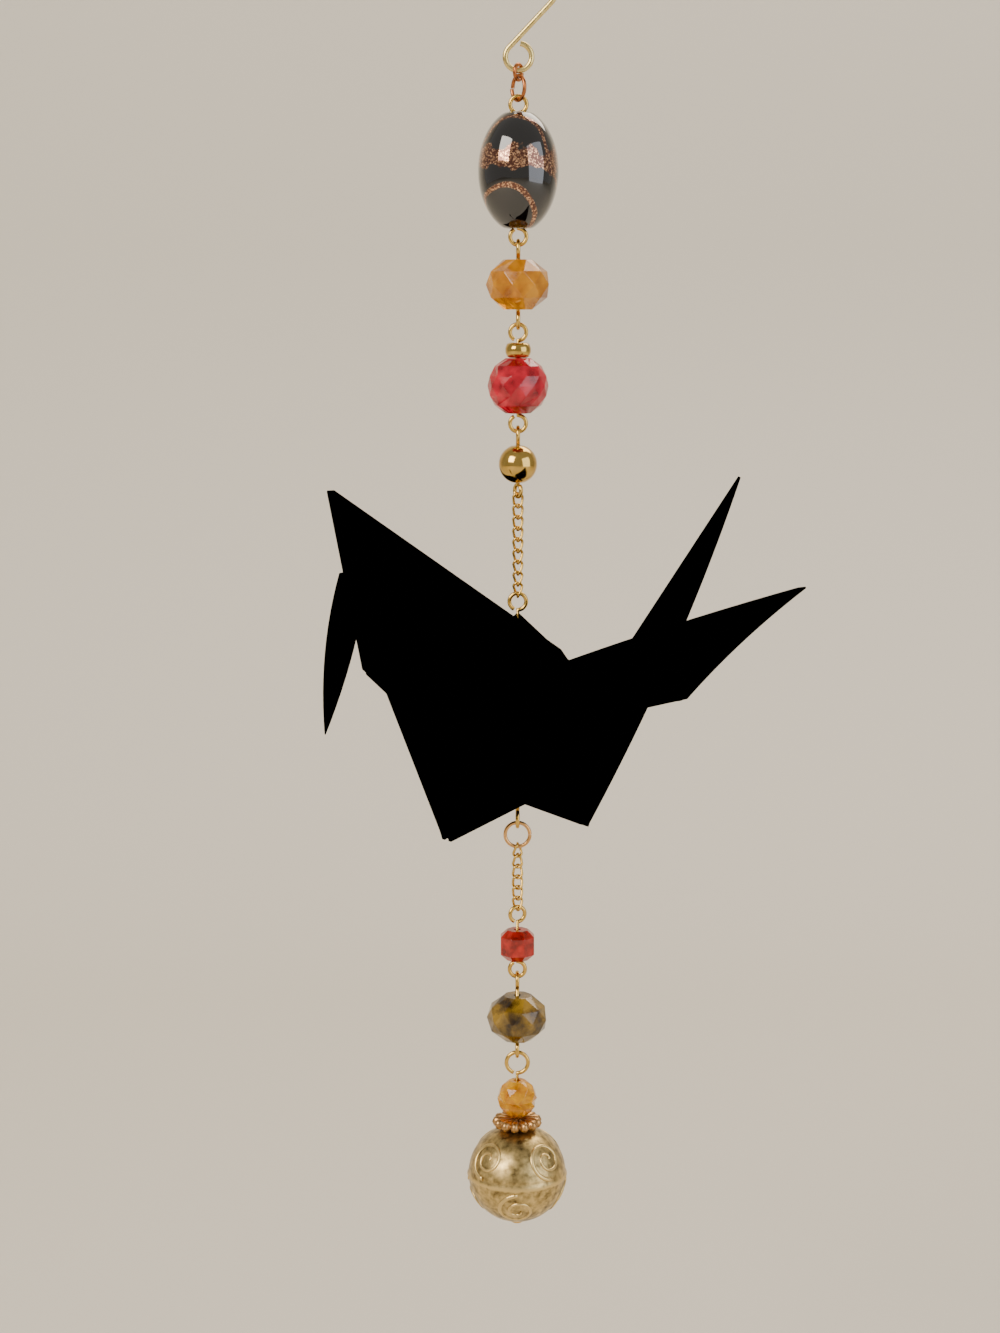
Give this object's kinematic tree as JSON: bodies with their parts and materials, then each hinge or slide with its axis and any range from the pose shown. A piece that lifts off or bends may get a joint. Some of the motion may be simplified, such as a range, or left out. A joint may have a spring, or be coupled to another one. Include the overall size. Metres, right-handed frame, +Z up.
{
  "type": "hanging origami crane ornament",
  "caption": "Hanging ornament: a folded paper crane on a jointed string of beads, eye pins and chain links, with a wire hook at the top.",
  "frame": {"origin": "centre of the hook's crook, where the ornament hangs", "axes": "+Z up along the string, +X and -Y so that the hook's plane and the ornament's face are seen from -Y"},
  "size_m": [0.0728, 0.0865, 0.2051],
  "materials": {
    "hook_wire": "polished",
    "pin_wire": "polished",
    "copper_ring": "polished",
    "gold_bead": "satin",
    "daisy_metal": "satin",
    "scroll_metal": "satin",
    "black_glass": "gloss",
    "amber_glass": "gloss",
    "red_glass": "gloss",
    "small_red_glass": "gloss",
    "smoky_glass": "gloss",
    "honey_glass": "gloss",
    "printed_paper": "satin"
  },
  "bodies": {
    "hanger_hook": {"hanger_hook": "hook_wire"},
    "jump_ring_1": {"jump_ring_1": "copper_ring"},
    "jump_ring_2": {"jump_ring_2": "copper_ring"},
    "black_bead": {"black_bead": "black_glass"},
    "eye_pin_1": {"eye_pin_1": "pin_wire"},
    "amber_rondelle": {"amber_rondelle": "amber_glass"},
    "eye_pin_2": {"eye_pin_2": "pin_wire"},
    "gold_spacer": {"gold_spacer": "gold_bead"},
    "red_rondelle": {"red_rondelle": "red_glass"},
    "eye_pin_3": {"eye_pin_3": "pin_wire"},
    "gold_ball": {"gold_ball": "gold_bead"},
    "eye_pin_4": {"eye_pin_4": "pin_wire"},
    "chain_link_1": {"chain_link_1": "pin_wire"},
    "chain_link_2": {"chain_link_2": "pin_wire"},
    "chain_link_3": {"chain_link_3": "pin_wire"},
    "chain_link_4": {"chain_link_4": "pin_wire"},
    "chain_link_5": {"chain_link_5": "pin_wire"},
    "chain_link_6": {"chain_link_6": "pin_wire"},
    "chain_link_7": {"chain_link_7": "pin_wire"},
    "chain_link_8": {"chain_link_8": "pin_wire"},
    "chain_link_9": {"chain_link_9": "pin_wire"},
    "folded_crane": {"folded_crane": "printed_paper"},
    "eye_pin_5": {"eye_pin_5": "pin_wire"},
    "jump_ring_3": {"jump_ring_3": "pin_wire"},
    "lower_chain_link_1": {"lower_chain_link_1": "pin_wire"},
    "lower_chain_link_2": {"lower_chain_link_2": "pin_wire"},
    "lower_chain_link_3": {"lower_chain_link_3": "pin_wire"},
    "lower_chain_link_4": {"lower_chain_link_4": "pin_wire"},
    "lower_chain_link_5": {"lower_chain_link_5": "pin_wire"},
    "lower_chain_link_6": {"lower_chain_link_6": "pin_wire"},
    "small_red_bead": {"small_red_bead": "small_red_glass"},
    "eye_pin_6": {"eye_pin_6": "pin_wire"},
    "smoky_rondelle": {"smoky_rondelle": "smoky_glass"},
    "eye_pin_7": {"eye_pin_7": "pin_wire"},
    "small_amber_bead": {"small_amber_bead": "honey_glass"},
    "daisy_spacer": {"daisy_spacer": "daisy_metal"},
    "scroll_bead": {"scroll_bead": "scroll_metal"},
    "head_pin": {"head_pin": "pin_wire"}
  },
  "joints": [
    {"name": "jump_ring_1_swing", "type": "hinge", "parent": "hanger_hook", "child": "jump_ring_1", "pos_m": [0, 0, -0.01424], "axis": [1, 0, 0], "range_deg": [-30, 30]},
    {"name": "jump_ring_2_swing", "type": "hinge", "parent": "jump_ring_1", "child": "jump_ring_2", "pos_m": [0, 0, -0.01565], "axis": [0.5, 0.866, 0], "range_deg": [-30, 30]},
    {"name": "eye_pin_1_swing", "type": "hinge", "parent": "jump_ring_2", "child": "eye_pin_1", "pos_m": [0, 0, -0.01866], "axis": [0.5, -0.866, 0], "range_deg": [-30, 30]},
    {"name": "eye_pin_2_swing", "type": "hinge", "parent": "eye_pin_1", "child": "eye_pin_2", "pos_m": [0, 0, -0.04034], "axis": [-1, 0, 0], "range_deg": [-30, 30]},
    {"name": "eye_pin_3_swing", "type": "hinge", "parent": "eye_pin_2", "child": "eye_pin_3", "pos_m": [0, 0, -0.05299], "axis": [0, 1, 0], "range_deg": [-30, 30]},
    {"name": "eye_pin_4_swing", "type": "hinge", "parent": "eye_pin_3", "child": "eye_pin_4", "pos_m": [0, 0, -0.06889], "axis": [1, 0, 0], "range_deg": [-30, 30]},
    {"name": "chain_link_1_swing", "type": "hinge", "parent": "eye_pin_4", "child": "chain_link_1", "pos_m": [0, 0, -0.07904], "axis": [0.5, -0.866, 0], "range_deg": [-30, 30]},
    {"name": "chain_link_2_swing", "type": "hinge", "parent": "chain_link_1", "child": "chain_link_2", "pos_m": [0, 0, -0.08021], "axis": [-0.8969, -0.4423, 0], "range_deg": [-30, 30]},
    {"name": "chain_link_3_swing", "type": "hinge", "parent": "chain_link_2", "child": "chain_link_3", "pos_m": [0, 0, -0.08244], "axis": [-0.4423, 0.8969, 0], "range_deg": [-30, 30]},
    {"name": "chain_link_4_swing", "type": "hinge", "parent": "chain_link_3", "child": "chain_link_4", "pos_m": [0, 0, -0.08373], "axis": [0.9469, 0.3214, 0], "range_deg": [-30, 30]},
    {"name": "chain_link_5_swing", "type": "hinge", "parent": "chain_link_4", "child": "chain_link_5", "pos_m": [0, 0, -0.08596], "axis": [0.3214, -0.9469, 0], "range_deg": [-30, 30]},
    {"name": "chain_link_6_swing", "type": "hinge", "parent": "chain_link_5", "child": "chain_link_6", "pos_m": [0, 0, -0.08725], "axis": [-0.9808, -0.1951, 0], "range_deg": [-30, 30]},
    {"name": "chain_link_7_swing", "type": "hinge", "parent": "chain_link_6", "child": "chain_link_7", "pos_m": [0, 0, -0.08948], "axis": [-0.1951, 0.9808, 0], "range_deg": [-30, 30]},
    {"name": "chain_link_8_swing", "type": "hinge", "parent": "chain_link_7", "child": "chain_link_8", "pos_m": [0, 0, -0.09077], "axis": [0.9979, 0.0654, 0], "range_deg": [-30, 30]},
    {"name": "chain_link_9_swing", "type": "hinge", "parent": "chain_link_8", "child": "chain_link_9", "pos_m": [0, 0, -0.093], "axis": [0.0654, -0.9979, 0], "range_deg": [-30, 30]},
    {"name": "eye_pin_5_swing", "type": "hinge", "parent": "chain_link_9", "child": "eye_pin_5", "pos_m": [0, 0, -0.09476], "axis": [0, 1, 0], "range_deg": [-30, 30]},
    {"name": "jump_ring_3_swing", "type": "hinge", "parent": "eye_pin_5", "child": "jump_ring_3", "pos_m": [0, 0, -0.13175], "axis": [0, -1, 0], "range_deg": [-30, 30]},
    {"name": "lower_chain_link_1_swing", "type": "hinge", "parent": "jump_ring_3", "child": "lower_chain_link_1", "pos_m": [0, 0, -0.13502], "axis": [-1, 0, 0], "range_deg": [-30, 30]},
    {"name": "lower_chain_link_2_swing", "type": "hinge", "parent": "lower_chain_link_1", "child": "lower_chain_link_2", "pos_m": [0, 0, -0.13622], "axis": [0.2419, 0.9703, 0], "range_deg": [-30, 30]},
    {"name": "lower_chain_link_3_swing", "type": "hinge", "parent": "lower_chain_link_2", "child": "lower_chain_link_3", "pos_m": [0, 0, -0.13845], "axis": [0.9703, -0.2419, 0], "range_deg": [-30, 30]},
    {"name": "lower_chain_link_4_swing", "type": "hinge", "parent": "lower_chain_link_3", "child": "lower_chain_link_4", "pos_m": [0, 0, -0.13974], "axis": [-0.6691, -0.7431, 0], "range_deg": [-30, 30]},
    {"name": "lower_chain_link_5_swing", "type": "hinge", "parent": "lower_chain_link_4", "child": "lower_chain_link_5", "pos_m": [0, 0, -0.14197], "axis": [-0.7431, 0.6691, 0], "range_deg": [-30, 30]},
    {"name": "lower_chain_link_6_swing", "type": "hinge", "parent": "lower_chain_link_5", "child": "lower_chain_link_6", "pos_m": [0, 0, -0.14326], "axis": [0.9397, 0.342, 0], "range_deg": [-30, 30]},
    {"name": "eye_pin_6_swing", "type": "hinge", "parent": "lower_chain_link_6", "child": "eye_pin_6", "pos_m": [0, 0, -0.14549], "axis": [-0.342, 0.9397, 0], "range_deg": [-30, 30]},
    {"name": "eye_pin_7_swing", "type": "hinge", "parent": "eye_pin_6", "child": "eye_pin_7", "pos_m": [0, 0, -0.15655], "axis": [-1, 0, 0], "range_deg": [-30, 30]},
    {"name": "head_pin_swing", "type": "hinge", "parent": "eye_pin_7", "child": "head_pin", "pos_m": [0, 0, -0.1699], "axis": [0, -1, 0], "range_deg": [-30, 30]},
    {"name": "black_bead_spin", "type": "hinge", "parent": "eye_pin_1", "child": "black_bead", "pos_m": [0, 0, -0.02916], "axis": [0, 0, 1], "continuous": true},
    {"name": "amber_rondelle_spin", "type": "hinge", "parent": "eye_pin_2", "child": "amber_rondelle", "pos_m": [0, 0, -0.04631], "axis": [0, 0, 1], "continuous": true},
    {"name": "gold_spacer_spin", "type": "hinge", "parent": "eye_pin_3", "child": "gold_spacer", "pos_m": [0, 0, -0.05631], "axis": [0, 0, 1], "continuous": true},
    {"name": "red_rondelle_spin", "type": "hinge", "parent": "eye_pin_3", "child": "red_rondelle", "pos_m": [0, 0, -0.06176], "axis": [0, 0, 1], "continuous": true},
    {"name": "gold_ball_spin", "type": "hinge", "parent": "eye_pin_4", "child": "gold_ball", "pos_m": [0, 0, -0.07391], "axis": [0, 0, 1], "continuous": true},
    {"name": "folded_crane_spin", "type": "hinge", "parent": "eye_pin_5", "child": "folded_crane", "pos_m": [0, 0, -0.10595], "axis": [0, 0, 1], "continuous": true},
    {"name": "small_red_bead_spin", "type": "hinge", "parent": "eye_pin_6", "child": "small_red_bead", "pos_m": [0, 0, -0.15118], "axis": [0, 0, 1], "continuous": true},
    {"name": "smoky_rondelle_spin", "type": "hinge", "parent": "eye_pin_7", "child": "smoky_rondelle", "pos_m": [0, 0, -0.16333], "axis": [0, 0, 1], "continuous": true},
    {"name": "small_amber_bead_spin", "type": "hinge", "parent": "head_pin", "child": "small_amber_bead", "pos_m": [0, 0, -0.17698], "axis": [0, 0, 1], "continuous": true},
    {"name": "daisy_spacer_spin", "type": "hinge", "parent": "head_pin", "child": "daisy_spacer", "pos_m": [0, 0, -0.18093], "axis": [0, 0, 1], "continuous": true},
    {"name": "scroll_bead_spin", "type": "hinge", "parent": "head_pin", "child": "scroll_bead", "pos_m": [0, 0, -0.18968], "axis": [0, 0, 1], "continuous": true}
  ]
}
